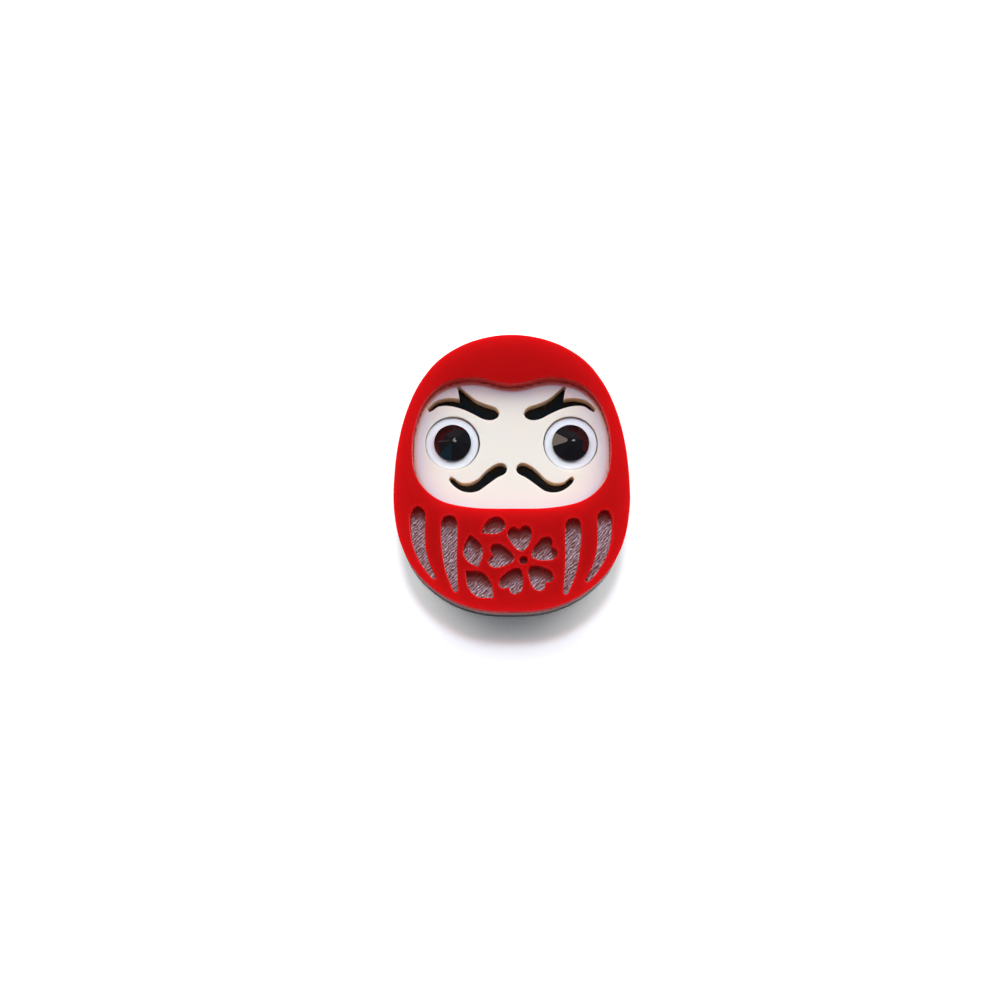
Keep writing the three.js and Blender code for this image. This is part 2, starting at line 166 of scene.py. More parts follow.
# ---- meshes ----
def link_object(name, mesh, body, materials):
    """A new piece that rides on a body and takes its finish from a slot."""
    piece = bpy.data.objects.new(name, mesh)
    bpy.context.scene.collection.objects.link(piece)
    for material in materials:
        mesh.materials.append(material)
    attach(piece, body)
    return piece


def front_loops(node):
    """Outlines of a plate's front face in mm, as [x, z] rows, with the material on their left."""
    mesh = nodes[node].data
    mesh.calc_loop_triangles()
    corners = [tuple(round(c / MM, 4) for c in v.co) for v in mesh.vertices]
    front = min(c[1] for c in corners)
    edges = set()
    for triangle in mesh.loop_triangles:
        ring = [corners[i] for i in triangle.vertices]
        if all(abs(c[1] - front) < 1e-3 for c in ring):
            for edge in zip(ring, ring[1:] + ring[:1]):
                if edge[::-1] in edges:
                    edges.remove(edge[::-1])
                else:
                    edges.add(edge)
    follow = dict(sorted(edges))
    loops = []
    while follow:
        start = next(iter(follow))
        loop = [start]
        point = follow.pop(start)
        while point != start:
            loop.append(point)
            point = follow.pop(point)
        loops.append(np.array([(p[0], p[2]) for p in loop]))
    return sorted(loops, key=lambda loop: -np.ptp(loop[:, 0]))


def turns(loop):
    """How far the outline turns at each point."""
    ahead = np.roll(loop, -1, 0) - loop
    behind = loop - np.roll(loop, 1, 0)
    cross = behind[:, 0] * ahead[:, 1] - behind[:, 1] * ahead[:, 0]
    return np.abs(np.arctan2(cross, (ahead * behind).sum(1)))


def uncrowded(loop):
    """The outline without the points that stand right beside a corner."""
    sharp = turns(loop) > CORNER
    gaps = np.linalg.norm(np.roll(loop, -1, 0) - loop, axis=1)
    before = np.roll(sharp, 1) & (np.roll(gaps, 1) < CROWD)
    after = np.roll(sharp, -1) & (gaps < CROWD)
    return loop[sharp | ~(before | after)]


def refined(loop):
    """The outline with its smooth stretches rounded out and its corners kept."""
    loop = uncrowded(loop)
    sharp = turns(loop) > CORNER
    spans = np.roll(loop, -1, 0) - loop
    lengths = np.linalg.norm(spans, axis=1)[:, None]
    ways = spans / lengths + np.roll(spans / lengths, 1, 0)
    ways /= np.linalg.norm(ways, axis=1)[:, None]
    leave = np.where(sharp[:, None], spans, ways * lengths)
    arrive = np.where(np.roll(sharp, -1)[:, None], spans, np.roll(ways, -1, 0) * lengths)
    points = []
    for start, span, out, back in zip(loop, spans, leave, arrive):
        for k in range(LOOP_PARTS):
            t = k / LOOP_PARTS
            points.append(start + span * (3 - 2 * t) * t * t + out * t * (1 - t) ** 2
                          - back * (1 - t) * t * t)
    return np.array(points)


def inset(loop, distance):
    """The outline moved into the material on its left."""
    ahead = np.roll(loop, -1, 0) - loop
    ahead /= np.linalg.norm(ahead, axis=1)[:, None]
    left = np.stack([-ahead[:, 1], ahead[:, 0]], 1)
    before = np.roll(left, 1, 0)
    middle = left + before
    middle /= np.maximum(np.linalg.norm(middle, axis=1), TINY)[:, None]
    reach = distance / np.maximum((middle * left).sum(1), MITRE)
    return loop + middle * reach[:, None]


def inside(points, loops):
    """Which points lie in the material, by counting outline crossings."""
    hits = np.zeros(len(points), int)
    for loop in loops:
        a, b = loop, np.roll(loop, -1, 0)
        x, z = points[:, :1], points[:, 1:]
        crosses = (a[:, 1] > z) != (b[:, 1] > z)
        rise = np.where(b[:, 1] == a[:, 1], TINY, b[:, 1] - a[:, 1])
        at = a[:, 0] + (z - a[:, 1]) * (b[:, 0] - a[:, 0]) / rise
        hits += (crosses & (x < at)).sum(1)
    return hits % 2 == 1


def grid_points(loops, step):
    """Evenly spaced points inside the outlines, clear of their edges."""
    low, high = loops[0].min(0), loops[0].max(0)
    across, up = np.arange(low[0], high[0], step), np.arange(low[1], high[1], step)
    points = np.stack(np.meshgrid(across, up), -1).reshape(-1, 2)
    points = points[inside(points, loops)]
    outline = np.concatenate(loops)
    gaps = np.linalg.norm(points[:, None] - outline[None], axis=2).min(1)
    return points[gaps > CLEAR * step]


def painted_edge_light(points, loop, reach, upward, sideways, downward):
    """Share of painted glow or shade at points near an outline, by the way its nearest edge faces.
    """
    ahead = np.roll(loop, -1, 0) - np.roll(loop, 1, 0)
    facing = -ahead[:, 0] / np.linalg.norm(ahead, axis=1)
    gaps = np.linalg.norm(points[:, None] - loop[None], axis=2)
    rise = facing[gaps.argmin(1)]
    share = sideways + (upward - sideways) * rise.clip(0) ** 3
    share += (downward - sideways) * rise.clip(None, 0) ** 2
    return share * np.exp(-gaps.min(1) / reach)


def painted_shade_below(points, loop, reach):
    """Share of the painted shade that an outline's top edge drops on points behind the opening."""
    a, b = loop, np.roll(loop, -1, 0)
    x, z = points[:, :1], points[:, 1]
    spans = (a[:, 0] > x) != (b[:, 0] > x)
    run = np.where(b[:, 0] == a[:, 0], TINY, b[:, 0] - a[:, 0])
    at = np.where(spans, a[:, 1] + (x - a[:, 0]) * (b[:, 1] - a[:, 1]) / run, -np.inf)
    drop = at.max(1) - z
    level = (np.abs(run) / np.linalg.norm(b - a, axis=1))[at.argmax(1)]
    cast = ((level - STEEP) / (LEVEL - STEEP)).clip(0, 1)
    return np.where(drop > -reach, cast * np.exp(-drop.clip(0) / reach), 0)


def cap_triangles(loops, within):
    """Triangles that fill the outlines, as indices into the loops' points, then those within."""
    points = np.concatenate([*loops, within])
    edges = []
    start = 0
    for loop in loops:
        ids = np.arange(start, start + len(loop))
        edges += list(zip(ids.tolist(), np.roll(ids, -1).tolist()))
        start += len(loop)
    found = geometry.delaunay_2d_cdt([Vector(p) for p in points], edges, [], 0, SAME)
    origin = {new: old[0] for new, old in enumerate(found[3]) if old}
    faces = [[origin[i] for i in face] for face in found[2] if all(i in origin for i in face)]
    corners = points[np.array(faces)]
    keep = inside(corners.mean(1), loops)
    a, b = corners[:, 1] - corners[:, 0], corners[:, 2] - corners[:, 0]
    sure = np.abs(a[:, 0] * b[:, 1] - a[:, 1] * b[:, 0]) > SLIVER
    keep &= sure
    outline = {frozenset(edge) for edge in edges}
    beside = {}
    for n, face in enumerate(faces):
        for edge in map(frozenset, zip(face, face[1:] + face[:1])):
            if edge not in outline:
                beside.setdefault(edge, []).append(n)
    for _ in range(SLIVER_ROUNDS):        # a sliver goes with the triangles beside it
        for pair in beside.values():
            if len(pair) == 2 and sure[pair[0]] != sure[pair[1]]:
                known, sliver = pair if sure[pair[0]] else pair[::-1]
                keep[sliver], sure[sliver] = keep[known], True
    return [face for face, kept in zip(faces, keep) if kept]


def note_painted_light(mesh, painted_light):
    """Notes on each point its share of the piece's painted glow or shade near its edges."""
    points = np.array([(v.co.x, v.co.z) for v in mesh.vertices]) / MM
    attribute = mesh.attributes.new("painted_light", "FLOAT", "POINT")
    attribute.data.foreach_set("value", painted_light(points).clip(0, 1).astype(np.float32))


def plate(name, node, body, materials, painted_light=None, grid=GRID):
    """A laser-cut sheet in the place of a CAD plate: flat faces, fine round edges, cut walls.

    The materials are the face's, the outer wall's, then each opening's; the last one repeats.
    """
    low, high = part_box(node)
    front, back = low.y / MM, high.y / MM
    loops = [refined(loop) for loop in front_loops(node)]
    soft = PLATE_EDGE * HALF_ROUND
    rings = [(PLATE_EDGE, front), (soft, front + soft), (0, front + PLATE_EDGE),
             (0, back - PLATE_EDGE), (soft, back - soft), (PLATE_EDGE, back)]
    bm = bmesh.new()
    layers = []
    for distance, y in rings:
        layer = []
        for loop in loops:
            placed = inset(loop, distance) if distance else loop
            layer.append([bm.verts.new((x * MM, y * MM, z * MM)) for x, z in placed])
        layers.append(layer)
    for depth, (near, far) in enumerate(zip(layers, layers[1:])):
        for hole, (a, b) in enumerate(zip(near, far)):
            for i in range(len(a)):
                j = (i + 1) % len(a)
                wall = bm.faces.new((a[i], b[i], b[j], a[j]))
                wall.smooth = True
                if rings[depth][0] == rings[depth + 1][0]:
                    wall.material_index = min(hole + 1, len(materials) - 1)
    within = grid_points(loops, grid)
    caps = cap_triangles([inset(loop, PLATE_EDGE) for loop in loops], within)
    for layer, y, turned in ((layers[0], front, False), (layers[-1], back, True)):
        verts = [v for ring in layer for v in ring]
        verts += [bm.verts.new((x * MM, y * MM, z * MM)) for x, z in within]
        for face in caps:
            bm.faces.new([verts[i] for i in (face[::-1] if turned else face)]).smooth = True
    bmesh.ops.recalc_face_normals(bm, faces=bm.faces)
    for edge in bm.edges:
        flat = [abs(face.normal.y) > FACE_ON for face in edge.link_faces]
        bend = edge.calc_face_angle(0) > CORNER or any(flat) and not all(flat)
        edge.smooth = not bend
    mesh = bpy.data.meshes.new(name)
    bm.to_mesh(mesh)
    bm.free()
    # painted glow or shade near the edges, noted for the face's material
    if painted_light:
        note_painted_light(mesh, painted_light)
    piece = link_object(name, mesh, body, materials)
    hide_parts(node)


def softened(name, node, body, material, width, smooth=True, segments=2):
    """A piece in the shape of a CAD node, with its sharp edges rounded."""
    bm = bmesh.new()
    bm.from_mesh(nodes[node].data)
    bmesh.ops.remove_doubles(bm, verts=bm.verts, dist=SAME)
    bmesh.ops.dissolve_limit(bm, angle_limit=FLAT, verts=bm.verts, edges=bm.edges)
    limit = METAL_BEND if smooth else FACET_BEND
    sharp = [e for e in bm.edges if e.is_manifold and e.calc_face_angle(0) > limit]
    bmesh.ops.bevel(bm, geom=sharp, offset=width * MM, offset_type="OFFSET", segments=segments,
                    profile=0.5, affect="EDGES", clamp_overlap=False)
    for face in bm.faces:
        face.smooth = smooth
    bmesh.ops.triangulate(bm, faces=[f for f in bm.faces if len(f.verts) > 4])
    mesh = bpy.data.meshes.new(name)
    bm.to_mesh(mesh)
    bm.free()
    if smooth:
        mesh.set_sharp_from_angle(angle=METAL_BEND)
    piece = link_object(name, mesh, body, [material])
    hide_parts(node)
    return piece


def note_facing(mesh):
    """Notes on each facet which way round -Y it leans, as a share of a full turn."""
    ways = [math.atan2(face.normal.z, face.normal.x) / (2 * math.pi) % 1 for face in mesh.polygons]
    mesh.attributes.new("facing", "FLOAT", "FACE").data.foreach_set("value", ways)


def round_disc(name, node, body, material):
    """A flat disc turned about -Y, with rounded rims and a painted shade near the rim of its face.
    """
    low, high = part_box(node)
    centre = (low + high) / 2
    radius = (high.x - low.x) / 2
    edge = DISC_EDGE * MM
    soft = edge * HALF_ROUND
    inner = [(share * radius, low.y) for share in DISC_RINGS]
    profile = [(0, low.y), *inner, (radius - edge, low.y),
               (radius - soft, low.y + soft), (radius, low.y + edge), (radius, high.y - edge),
               (radius - edge, high.y), (0, high.y)]
    bm = bmesh.new()
    rings = []
    for r, y in profile:
        count = DISC_STEPS if r else 1
        angles = [2 * math.pi * i / DISC_STEPS for i in range(count)]
        rings.append([bm.verts.new((centre.x + r * math.cos(a), y, centre.z + r * math.sin(a)))
                      for a in angles])
    for a, b in zip(rings, rings[1:]):
        for i in range(DISC_STEPS):
            j = (i + 1) % DISC_STEPS
            corners = [a[i % len(a)], b[i % len(b)], b[j % len(b)], a[j % len(a)]]
            bm.faces.new(list(dict.fromkeys(corners))).smooth = True
    bmesh.ops.recalc_face_normals(bm, faces=bm.faces)
    mesh = bpy.data.meshes.new(name)
    bm.to_mesh(mesh)
    bm.free()
    mesh.set_sharp_from_angle(angle=DISC_BEND)
    rim = np.array([(v.co.x, v.co.z) for v in mesh.vertices if abs(v.co.y - high.y + edge) < SAME])
    # painted shade on the face's rim, beside the hole's wall
    note_painted_light(mesh, lambda points: painted_edge_light(points, rim / MM, *DISC_PAINTED_SHADE))
    piece = link_object(name, mesh, body, [material])
    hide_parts(node)


# ---- materials ----
class Nodes:
    """A material's node tree, with short ways to add to it."""

    def __init__(self, name):
        self.material = bpy.data.materials.new(name)
        self.material.use_nodes = True
        self.tree = self.material.node_tree
        self.shader = self.tree.nodes["Principled BSDF"]

    def set(self, **values):
        for name, value in values.items():
            self.shader.inputs[name.replace("_", " ")].default_value = value

    def add(self, kind, values=None, **settings):
        node = self.tree.nodes.new(kind)
        for name, value in settings.items():
            setattr(node, name, value)
        for name, value in (values or {}).items():
            if isinstance(value, bpy.types.NodeSocket):
                self.tree.links.new(value, node.inputs[name])
            else:
                node.inputs[name].default_value = value
        return node

    def drive(self, name, socket):
        self.tree.links.new(socket, self.shader.inputs[name])

    def place(self, scale, turn=0.0):
        """Object coordinates turned about Y, then scaled, per metre."""
        coords = self.add("ShaderNodeTexCoord").outputs["Object"]
        turned = self.add("ShaderNodeMapping", {"Vector": coords, "Rotation": (0, turn, 0)})
        scaled = self.add("ShaderNodeMapping", {"Vector": turned.outputs[0], "Scale": scale})
        return scaled.outputs[0]

    def noise(self, scale, turn=0.0, detail=2.0, roughness=0.5):
        """A pattern with its own scale along X, Y and Z."""
        where = self.place(scale, turn)
        values = {"Vector": where, "Scale": 1.0, "Detail": detail, "Roughness": roughness}
        return self.add("ShaderNodeTexNoise", values).outputs["Fac"]

    def ramp(self, factor, stops, interpolation="LINEAR"):
        node = self.add("ShaderNodeValToRGB", {"Fac": factor})
        node.color_ramp.interpolation = interpolation
        elements = node.color_ramp.elements
        while len(elements) < len(stops):
            elements.new(0.5)
        for element, (at, colour) in zip(elements, stops):
            element.position = at
            element.color = (*colour, 1) if isinstance(colour, tuple) else (colour,) * 3 + (1,)
        return node.outputs["Color"]

    def mix(self, factor, a, b, blend="MIX"):
        node = self.add("ShaderNodeMix", data_type="RGBA", blend_type=blend)
        for index, value in zip(MIX_INPUTS, (factor, a, b)):
            if isinstance(value, bpy.types.NodeSocket):
                self.tree.links.new(value, node.inputs[index])
            elif index:
                node.inputs[index].default_value = (*value, 1)
            else:
                node.inputs[index].default_value = value
        return node.outputs[MIX_OUTPUT]

    def spread(self, factor, low, high):
        """A number that follows a 0 to 1 pattern between two values."""
        values = {"Value": factor, "To Min": low, "To Max": high}
        return self.add("ShaderNodeMapRange", values).outputs[0]

    def attribute(self, name):
        """A number noted on the mesh."""
        return self.add("ShaderNodeAttribute", attribute_name=name).outputs["Fac"]

    def pass_light(self, colour):
        """Lets some coloured light from the lamps through the sheet, as clear red acrylic does."""
        path = self.add("ShaderNodeLightPath").outputs["Is Shadow Ray"]
        through = self.add("ShaderNodeBsdfTransparent", {"Color": (*colour, 1)}).outputs[0]
        choice = self.add("ShaderNodeMixShader", {0: path, 1: self.shader.outputs[0], 2: through})
        output = self.tree.nodes["Material Output"]
        self.tree.links.new(choice.outputs[0], output.inputs["Surface"])

    def bump(self, height, strength, distance):
        """Relief from a 0 to 1 pattern, its distance in mm."""
        values = {"Height": height, "Strength": strength, "Distance": distance * MM}
        self.drive("Normal", self.add("ShaderNodeBump", values).outputs[0])


def rgb(red, green, blue):
    """A colour given as it looks, 0 to 255, turned into light by the sRGB curve."""
    def light(c):
        c /= 255
        return c / 12.92 if c <= 0.04045 else ((c + 0.055) / 1.055) ** 2.4
    return (light(red), light(green), light(blue))


# colours of the painted glow and the painted shade near edges
RED_PAINTED_LIGHT = rgb(232, 18, 22)
LAVENDER_PAINTED_SHADE = rgb(168, 190, 224)
DISC_PAINTED_SHADE_GREY = rgb(150, 152, 160)


def dust(n):
    """Sparse bright specks, a few tenths of a millimetre wide."""
    cells = n.add("ShaderNodeTexVoronoi", {"Vector": n.place((420, 420, 420)), "Scale": 1.0})
    near = n.ramp(cells.outputs["Distance"], [(0.05, 1.0), (0.1, 0.0)])
    chosen = n.ramp(cells.outputs["Color"], [(1 - DUST, 0.0), (1 - DUST + 0.01, 1.0)], "CONSTANT")
    return n.mix(1.0, near, chosen, "MULTIPLY")


def acrylic(name, colour, shade, depth, roughness, dirt, painted_light_stops=(), through=None):
    """A sheet's polished face: faint tone drift, fine haze, hairlines and a little dust.

    Each painted stop: a share of the noted painted glow or shade, the weight there, the colour.
    """
    n = Nodes(name)
    drift = n.noise((90, 90, 90), detail=3)
    tone = n.mix(drift, colour, shade)
    # painted glow or shade near the edges, mixed into the colour
    if painted_light_stops:
        painted_light = n.attribute("painted_light")
        weights = n.ramp(painted_light, [(at, weight) for at, weight, _ in painted_light_stops])
        painted_tints = n.ramp(painted_light, [(at, tinge) for at, _, tinge in painted_light_stops])
        tone = n.mix(weights, tone, painted_tints)
    mottle = n.noise((2600, 2600, 2600), detail=2)
    tone = n.mix(n.spread(mottle, 0.0, 0.16), tone, shade)
    n.drive("Base Color", n.mix(n.spread(dust(n), 0.0, 0.7), tone, dirt))
    haze = n.noise((320, 320, 320), detail=4)
    scuff = n.noise((9000, 700, 260), turn=0.6, detail=2)
    worn = n.ramp(scuff, [(0.68, 0.0), (0.76, 1.0)])
    rough = n.add("ShaderNodeMath", {0: n.spread(haze, roughness * 0.6, roughness * 1.5),
                                     1: n.spread(worn, 0.0, 0.12)}, operation="ADD")
    n.drive("Roughness", rough.outputs[0])
    n.bump(n.noise((1500, 1500, 1500), detail=4, roughness=0.6), strength=GRAIN, distance=0.004)
    n.set(IOR=ACRYLIC_IOR, Subsurface_Weight=1.0, Subsurface_Radius=depth, Subsurface_Scale=MM)
    if through:
        n.pass_light(through)
    return n.material


def cut_wall(name, fresh, burnt_and_shaded, depth, sheet, amount, residue_and_shade=RESIDUE_AND_SHADE, through=None):
    """A laser-cut edge: fine lines across it, and burn marks with painted shade, thicker to the
    back.
    """
    n = Nodes(name)
    front, back = sheet
    coords = n.add("ShaderNodeTexCoord").outputs["Object"]
    y = n.add("ShaderNodeSeparateXYZ", {"Vector": coords}).outputs["Y"]
    way = n.add("ShaderNodeMapRange", {"Value": y, "From Min": front, "From Max": back})
    lines = n.noise((7000, 260, 7000), detail=3, roughness=0.65)
    patch = n.noise((700, 500, 700), detail=3)
    # burn marks and painted shade, growing towards the sheet's back
    smoke_and_shade = n.add("ShaderNodeMath", {0: n.ramp(way.outputs[0], residue_and_shade),
                                     1: n.spread(patch, 0.55, 1.25)}, operation="MULTIPLY")
    share = n.add("ShaderNodeMath", {0: smoke_and_shade.outputs[0], 1: amount}, operation="MULTIPLY",
                  use_clamp=True)
    tone = n.mix(share.outputs[0], fresh, burnt_and_shaded)
    dark = tuple(0.6 * c for c in burnt_and_shaded)
    n.drive("Base Color", n.mix(n.spread(lines, 0.0, 0.35 * amount + 0.1), tone, dark))
    n.drive("Roughness", n.spread(lines, 0.55, 0.8))
    n.bump(lines, strength=0.5, distance=0.02)
    n.set(IOR=ACRYLIC_IOR, Specular_IOR_Level=0.12)
    n.set(Subsurface_Weight=1.0, Subsurface_Radius=depth, Subsurface_Scale=MM)
    if through:
        n.pass_light(through)
    return n.material


def glitter_foil(name):
    """Silver foil cast in clear acrylic: slanting crumpled streaks with brighter flakes, the
    streaks' bands partly painted sparkle and crease shade; painted shade under the cut-outs' tops.
    """
    n = Nodes(name)
    crumple = n.noise((5000, 1800, 1800), turn=-0.8, detail=2, roughness=0.55)
    values = {"Vector": n.place((760, 760, 330), -0.8), "Scale": 1.0, "Distortion": 8.0,
              "Detail": 2.0, "Detail Scale": 2.6}
    fold = n.add("ShaderNodeTexWave", values).outputs["Fac"]
    streak = n.mix(0.5, crumple, fold)
    # the foil's own streaks, their light bands partly painted sparkle and their dark bands partly
    # painted crease shade
    streaks_and_sparkle = n.ramp(streak, [(0.26, rgb(102, 76, 70)), (0.42, rgb(130, 110, 105)),
                            (0.58, rgb(170, 164, 168)), (0.74, rgb(228, 240, 252))])
    flake = n.noise((2200, 2200, 2200), turn=-0.4, detail=2)
    foil = n.mix(n.spread(flake, 0.0, 0.15), streaks_and_sparkle, rgb(168, 140, 138))
    # painted shade in reddish brown under the cut-outs' tops
    painted_shade = n.ramp(n.attribute("painted_light"), [(0.18, 0.0), (0.38, 0.9)])
    n.drive("Base Color", n.mix(painted_shade, foil, rgb(132, 72, 64)))
    n.drive("Roughness", n.spread(streak, 0.5, 0.25))
    n.bump(streak, strength=0.9, distance=0.09)
    n.set(Metallic=0.2, Coat_Weight=0.35, Coat_Roughness=0.08)
    return n.material


def black_crystal(name):
    """Polished black glass whose facets get painted reflections, garnet or navy, by the way each
    faces.
    """
    n = Nodes(name)
    # painted reflections: a colour for each facet by the way it faces
    cast = n.ramp(n.attribute("facing"), CRYSTAL_PAINTED_REFLECTIONS, "CONSTANT")
    drift = n.noise((800, 800, 800), detail=2)
    n.drive("Base Color", n.mix(n.spread(drift, 0.0, 0.7), cast, rgb(22, 22, 26)))
    n.drive("Roughness", n.spread(n.noise((1500, 1500, 1500), detail=3), 0.01, 0.05))
    n.bump(n.noise((3000, 3000, 3000), detail=2), strength=0.05, distance=0.002)
    n.set(IOR=CRYSTAL_IOR)
    return n.material


def nickel(name, drawn):
    """Nickel-plated steel: a worn, slightly uneven plate with fine lines along the metal."""
    n = Nodes(name)
    lines = n.noise(drawn, detail=3, roughness=0.6)
    patch = n.noise((600, 600, 600), detail=4)
    tone = n.mix(patch, (0.72, 0.7, 0.67), (0.64, 0.61, 0.57))
    n.drive("Base Color", n.mix(n.spread(lines, 0.0, 0.4), tone, (0.8, 0.78, 0.76)))
    rough = n.add("ShaderNodeMath", {0: n.spread(patch, 0.16, 0.28),
                                     1: n.spread(lines, 0.0, 0.08)}, operation="ADD")
    n.drive("Roughness", rough.outputs[0])
    n.bump(lines, strength=0.2, distance=0.006)
    n.set(Metallic=1.0)
    return n.material


# ---- the brooch ----
def sheet_span(node):
    """Where a sheet's front and back faces stand along Y."""
    low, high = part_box(node)
    return low.y, high.y


def build_layers():
    """The three sheets. The widest opening of the red one is the face window; of the cream one,
    the brows and moustache halves come before the eye holes.
    """
    rim, window, *cutouts = [refined(loop) for loop in front_loops("front_plate")]

    # painted light: paler red near the outline, the window and the cut-outs, most where edges face
    # up
    def red_painted_light(points):
        share = painted_edge_light(points, rim, *RIM_PAINTED_LIGHT) + painted_edge_light(points, window, *WINDOW_PAINTED_LIGHT)
        return share + sum(painted_edge_light(points, loop, *CUTOUT_PAINTED_LIGHT) for loop in cutouts)

    # painted shade on the cream beside the window's walls
    def face_painted_shade(points):
        return painted_edge_light(points, window, *WINDOW_PAINTED_SHADE)

    # painted shade on the glitter under the cut-outs' tops
    def cutout_painted_shade(points):
        return np.max([painted_shade_below(points, loop, CUTOUT_PAINTED_SHADE) for loop in cutouts], axis=0)

    span = sheet_span("front_plate")
    red_face = acrylic("red_face", rgb(178, 8, 10), rgb(170, 7, 9), RED_DEPTH, roughness=0.16,
                       dirt=PALE_DUST, painted_light_stops=[(0.0, 0.0, RED_PAINTED_LIGHT), (1.0, 1.0, RED_PAINTED_LIGHT)],
                       through=RED_LIGHT)
    red_wall = cut_wall("red_wall", rgb(205, 20, 22), rgb(120, 14, 14), RED_DEPTH, span,
                        amount=0.5, through=RED_LIGHT)
    # the window's wall: lighter at the front as a painted highlight, darkest at the back as a
    # painted contact shadow
    window_wall = cut_wall("window_wall", rgb(245, 70, 66), rgb(124, 22, 20), RED_DEPTH, span,
                           amount=0.9, residue_and_shade=WINDOW_RESIDUE_AND_SHADE, through=RED_LIGHT)
    cutout_wall = cut_wall("cutout_wall", rgb(225, 60, 56), rgb(170, 34, 32), RED_DEPTH, span,
                           amount=0.5, through=RED_LIGHT)
    plate("red_front", "front_plate", "brooch",
          [red_face, red_wall, window_wall, cutout_wall], red_painted_light, FINE_GRID)

    span = sheet_span("face_plate")
    # painted shade beside the window's walls: lavender farther off, red-brown nearer, a dark
    # contact shadow at the wall
    painted_tints = [(0.0, 0.0, LAVENDER_PAINTED_SHADE), (0.45, 0.42, LAVENDER_PAINTED_SHADE), (0.62, 0.62, rgb(200, 150, 145)),
             (0.74, 0.75, rgb(196, 146, 140)), (0.86, 0.95, rgb(92, 60, 58))]
    cream_face = acrylic("cream_face", rgb(231, 229, 222), rgb(227, 224, 216), CREAM_DEPTH,
                         roughness=0.2, dirt=BROWN_DUST, painted_light_stops=painted_tints)
    cream_wall = cut_wall("cream_wall", rgb(222, 212, 198), rgb(196, 178, 152), CREAM_DEPTH,
                          span, amount=0.35)
    # brown deepening into the brows and moustache: burn marks and painted shade
    cream_burnt_and_shaded = cut_wall("cream_burnt_and_shaded", rgb(252, 238, 216), rgb(226, 194, 154),
                           CREAM_WALL_DEPTH, span, amount=0.8)
    # lighter than the other cut walls, a painted light that lifts the shade in the gap round the
    # discs
    eye_wall = cut_wall("eye_wall", rgb(255, 244, 232), rgb(240, 218, 200), EYE_WALL_DEPTH,
                        span, amount=0.5)
    plate("cream_face_layer", "face_plate", "brooch",
          [cream_face, cream_wall, *[cream_burnt_and_shaded] * 4, eye_wall], face_painted_shade, FINE_GRID)

    foil = glitter_foil("glitter_foil")
    foil_wall = cut_wall("glitter_wall", rgb(134, 110, 106), rgb(86, 66, 62), GLITTER_DEPTH,
                         sheet_span("glitter_plate"), amount=0.6)
    plate("glitter_layer", "glitter_plate", "brooch", [foil, foil_wall],
          cutout_painted_shade, FINE_GRID)

    black_face = acrylic("black_face", rgb(20, 29, 35), rgb(16, 22, 27), BLACK_DEPTH,
                         roughness=0.14, dirt=GREY_DUST)
    black_wall = cut_wall("black_wall", rgb(18, 21, 26), rgb(12, 13, 16), BLACK_DEPTH,
                          sheet_span("back_plate"), amount=0.6)
    plate("black_back", "back_plate", "brooch", [black_face, black_wall])


def build_eyes():
    # painted shade in grey on the discs' rims
    white = acrylic("white_disc", rgb(238, 243, 250), rgb(232, 238, 247), WHITE_DEPTH,
                    roughness=0.18, dirt=LIGHT_GREY_DUST,
                    painted_light_stops=[(0.0, 0.0, DISC_PAINTED_SHADE_GREY), (1.0, 1.0, DISC_PAINTED_SHADE_GREY)])
    crystal = black_crystal("black_crystal")
    for side in ("left", "right"):
        round_disc("white_disc_" + side, "eye_disc_" + side, "brooch", white)
        stone = softened("crystal_" + side, "eye_stone_" + side, side + "_eye",
                         crystal, FACET_EDGE, smooth=False, segments=1)
        note_facing(stone.data)


def build_pin():
    stamped = nickel("stamped_nickel", (900, 5000, 5000))
    drawn = nickel("drawn_nickel", (350, 9000, 9000))
    softened("bar", "pin_bar", "brooch", stamped, METAL_EDGE)
    softened("rivet", "hinge_rivet", "brooch", stamped, METAL_EDGE)
    softened("stem", "pin_stem", "stem", drawn, METAL_EDGE)
    softened("sleeve", "catch_sleeve", "catch", stamped, METAL_EDGE)


# ---- surroundings ----
def build_surface():
    """A pale sheet just behind the pin, on which the brooch lies, seen from the front only."""
    n = Nodes("pale_sheet")
    tone = n.noise((40, 40, 40), detail=3)
    pale = n.mix(tone, (SURFACE_TONE,) * 3, (0.99 * SURFACE_TONE,) * 3)
    matt = n.add("ShaderNodeBsdfDiffuse", {"Color": pale}).outputs[0]
    behind = n.add("ShaderNodeNewGeometry").outputs["Backfacing"]
    clear = n.add("ShaderNodeBsdfTransparent").outputs[0]
    choice = n.add("ShaderNodeMixShader", {0: behind, 1: matt, 2: clear})
    output = n.tree.nodes["Material Output"]
    n.tree.links.new(choice.outputs[0], output.inputs["Surface"])
    y = cad_box[1].y + SURFACE_GAP * MM
    half = SURFACE_HALF
    mesh = bpy.data.meshes.new("pale_surface")
    corners = [(-half, y, -half), (half, y, -half), (half, y, half), (-half, y, half)]
    mesh.from_pydata(corners, [], [(0, 1, 2, 3)])
    mesh.materials.append(n.material)
    surface = bpy.data.objects.new("pale_surface", mesh)
    bpy.context.scene.collection.objects.link(surface)
    surface.visible_shadow = False
    surface.visible_glossy = False


def lamp(name, kind, sideways, upward, strength, colour, glossy=False, **settings):
    """A light, a metre off, whose direction is given in degrees off the brooch's own."""
    data = bpy.data.lights.new(name, kind)
    data.energy = strength
    data.color = colour
    for key, value in settings.items():
        setattr(data, key, value)
    source = bpy.data.objects.new(name, data)
    a, b = math.radians(sideways), math.radians(upward)
    way = Vector((math.sin(a) * math.cos(b), -math.cos(a) * math.cos(b), math.sin(b)))
    source.rotation_euler = way.to_track_quat("Z", "Y").to_euler()
    source.location = way
    source.visible_glossy = glossy
    bpy.context.scene.collection.objects.link(source)
    return source


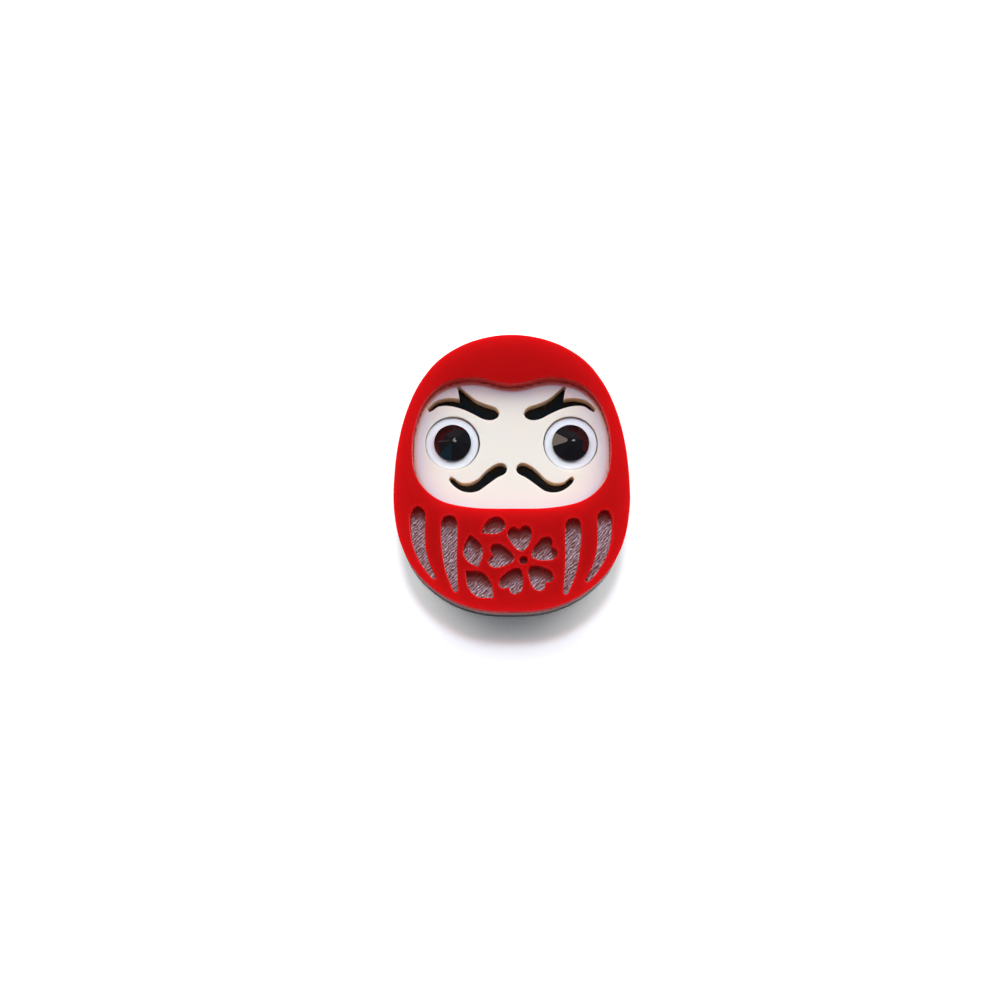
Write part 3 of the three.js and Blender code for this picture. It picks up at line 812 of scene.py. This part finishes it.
def sun(name, sideways, upward, strength, colour, across, glossy=False):
    """A far lamp, so many degrees across."""
    lamp(name, "SUN", sideways, upward, strength, colour, glossy, angle=math.radians(across))


def build_lights():
    for settings in SUNS:
        sun(*settings)
    for name, sideways, upward, strength, colour, size in GLINT_CARDS:
        card = lamp(name, "AREA", sideways, upward, strength, colour, glossy=True, size=size)
        card.visible_diffuse = False
    sun(*BACK_FILL, glossy=True)
    bpy.context.scene.world = pale_room()


def pale_room():
    """A dim room in front, for faint reflections, that grows bright behind and above."""
    world = bpy.data.worlds.new("pale_room")
    world.use_nodes = True
    tree = world.node_tree
    tree.nodes.clear()

    def shade(colour, strength=1.0):
        node = tree.nodes.new("ShaderNodeBackground")
        node.inputs["Color"].default_value = (*colour, 1)
        node.inputs["Strength"].default_value = strength
        return node

    def choose(factor, first, second):
        node = tree.nodes.new("ShaderNodeMixShader")
        for socket, source in zip(node.inputs, (factor, first, second)):
            tree.links.new(source, socket)
        return node.outputs[0]

    room = shade(ROOM_TONE, ROOM_STRENGTH).outputs[0]
    seen = shade(SEEN_TONE).outputs[0]
    mirrored = shade(MIRRORED_TONE)
    way = tree.nodes.new("ShaderNodeTexCoord").outputs["Generated"]
    weigh = tree.nodes.new("ShaderNodeVectorMath")
    weigh.operation = "DOT_PRODUCT"
    weigh.inputs[1].default_value = BRIGHT_SIDE
    tree.links.new(way, weigh.inputs[0])
    grow = tree.nodes.new("ShaderNodeMapRange")
    for name, value in ROOM_GROWTH:
        grow.inputs[name].default_value = value
    tree.links.new(weigh.outputs["Value"], grow.inputs["Value"])
    tree.links.new(grow.outputs[0], mirrored.inputs["Strength"])
    ray = tree.nodes.new("ShaderNodeLightPath").outputs
    lit = choose(ray["Is Glossy Ray"], room, mirrored.outputs[0])
    output = tree.nodes.new("ShaderNodeOutputWorld")
    tree.links.new(choose(ray["Is Camera Ray"], lit, seen), output.inputs["Surface"])
    return world


def build_camera():
    low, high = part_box("front_plate")
    middle = Vector(((low.x + high.x) / 2, low.y, (low.z + high.z) / 2))
    data = bpy.data.cameras.new("camera")
    data.lens = LENS
    data.sensor_width = SENSOR
    data.clip_start = 0.01
    camera = bpy.data.objects.new("camera", data)
    camera.location = middle + Vector(CAMERA_OFFSET) * MM
    aim = middle + Vector(AIM_OFFSET) * MM
    camera.rotation_euler = (aim - camera.location).to_track_quat("-Z", "Y").to_euler()
    bpy.context.scene.collection.objects.link(camera)
    bpy.context.scene.camera = camera


build_layers()
build_eyes()
build_pin()
build_surface()
build_lights()
build_camera()
bpy.context.scene.view_settings.view_transform = "Standard"
